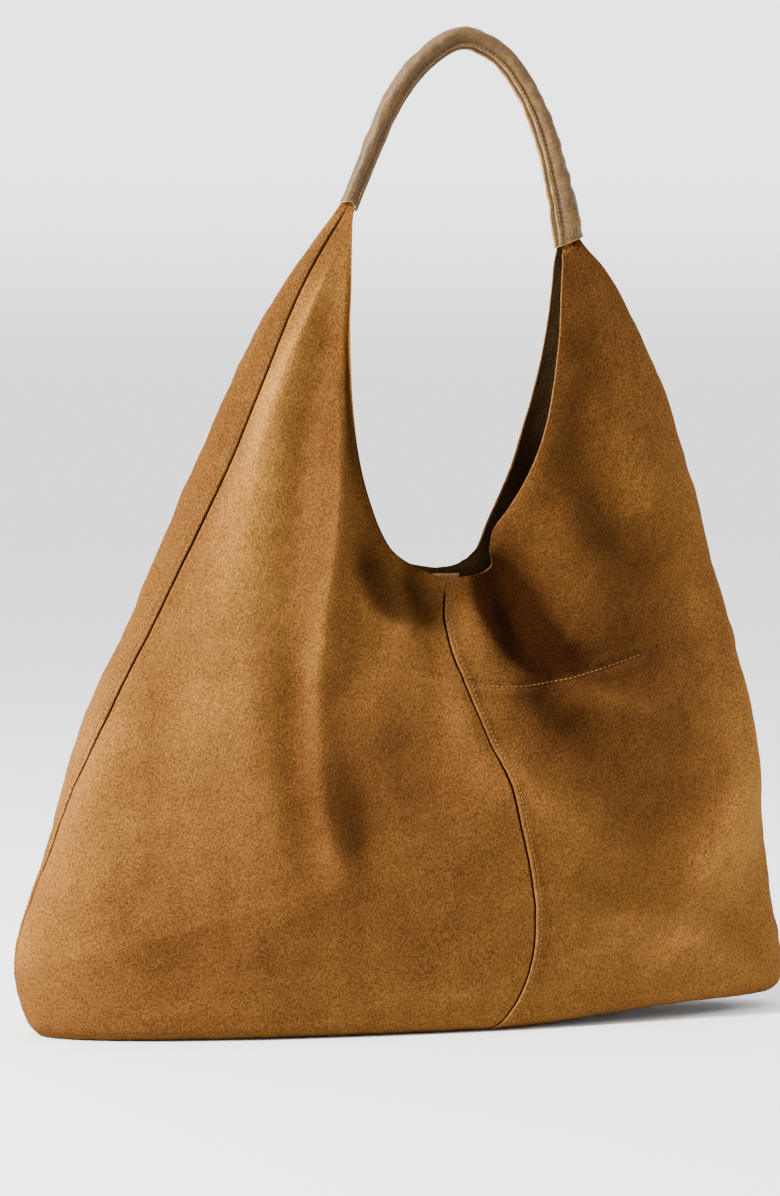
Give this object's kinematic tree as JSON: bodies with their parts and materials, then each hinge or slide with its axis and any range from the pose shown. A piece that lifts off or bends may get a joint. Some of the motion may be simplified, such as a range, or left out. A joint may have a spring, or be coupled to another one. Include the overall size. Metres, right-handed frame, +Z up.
{
  "type": "hobo bag",
  "caption": "Slouchy unlined suede hobo bag with a deep curved mouth between pointed peaks, a rolled leather shoulder strap, a snap closure and a hanging zip pocket.",
  "frame": {"origin": "centre of the base on the ground, under the middle of the bag's box", "axes": "+X along the bag's width, to the right seen from the front; -Y towards the front; +Z up, towards the strap"},
  "size_m": [0.505, 0.1257, 0.6282],
  "materials": {
    "body_suede": "napped suede",
    "base_suede": "napped suede",
    "gathered_suede": "napped suede",
    "closure_leather": "smooth",
    "pocket_cotton": "plain weave",
    "zip_tape": "woven tape",
    "zip_metal": "antique",
    "snap_metal": "antique",
    "strap_leather": "smooth, waxed",
    "strap_filler": "twisted cotton cord",
    "thread": "waxed polyester"
  },
  "bodies": {
    "bag": {"front_left_panel": "body_suede", "front_right_panel": "body_suede", "back_left_panel": "body_suede", "back_right_panel": "body_suede", "base_panel": "base_suede", "left_peak_gather": "gathered_suede", "right_peak_gather": "gathered_suede", "front_tab_sewn_end": "closure_leather", "back_tab_sewn_end": "closure_leather", "pocket_back_layer": "pocket_cotton", "pocket_upper_flap": "pocket_cotton", "pocket_pouch": "pocket_cotton", "pocket_hem": "pocket_cotton", "zip_upper_tape": "zip_tape", "zip_lower_tape": "zip_tape", "zip_upper_teeth": "zip_metal", "zip_lower_teeth": "zip_metal", "zip_end_stops": "zip_metal", "pocket_seam_thread": "thread", "front_centre_seam_thread": "thread", "back_centre_seam_thread": "thread", "left_side_seam_thread": "thread", "right_side_seam_thread": "thread"},
    "strap": {"strap_leather": "strap_leather", "strap_core": "strap_filler", "left_suede_tongue": "gathered_suede", "right_suede_tongue": "gathered_suede", "strap_seam_thread": "thread"},
    "front_tab": {"front_closure_tab": "closure_leather", "snap_socket": "snap_metal", "snap_socket_washer": "snap_metal"},
    "back_tab": {"back_closure_tab": "closure_leather", "snap_stud": "snap_metal", "snap_stud_washer": "snap_metal"},
    "zip_slider": {"zip_slider": "zip_metal"},
    "zip_pull": {"zip_pull": "zip_metal"}
  },
  "joints": [
    {"name": "strap_swing", "type": "hinge", "parent": "bag", "child": "strap", "pos_m": [-0.041, 0, 0.508], "axis": [0.9894, 0, -0.1451], "range_deg": [-90, 90]},
    {"name": "front_tab_swing", "type": "hinge", "parent": "bag", "child": "front_tab", "pos_m": [0.022, -0.0041, 0.264], "axis": [-1, 0, 0], "range_deg": [0, 25]},
    {"name": "back_tab_swing", "type": "hinge", "parent": "bag", "child": "back_tab", "pos_m": [0.022, 0.0041, 0.264], "axis": [1, 0, 0], "range_deg": [0, 25]},
    {"name": "zip_slide", "type": "slide", "parent": "bag", "child": "zip_slider", "axis": [-1, 0, 0], "range_m": [0, 0.155]},
    {"name": "zip_pull_swing", "type": "hinge", "parent": "zip_slider", "child": "zip_pull", "pos_m": [0.1215, -0.01905, 0.193], "axis": [0, 0, -1], "range_deg": [0, 150]}
  ]
}
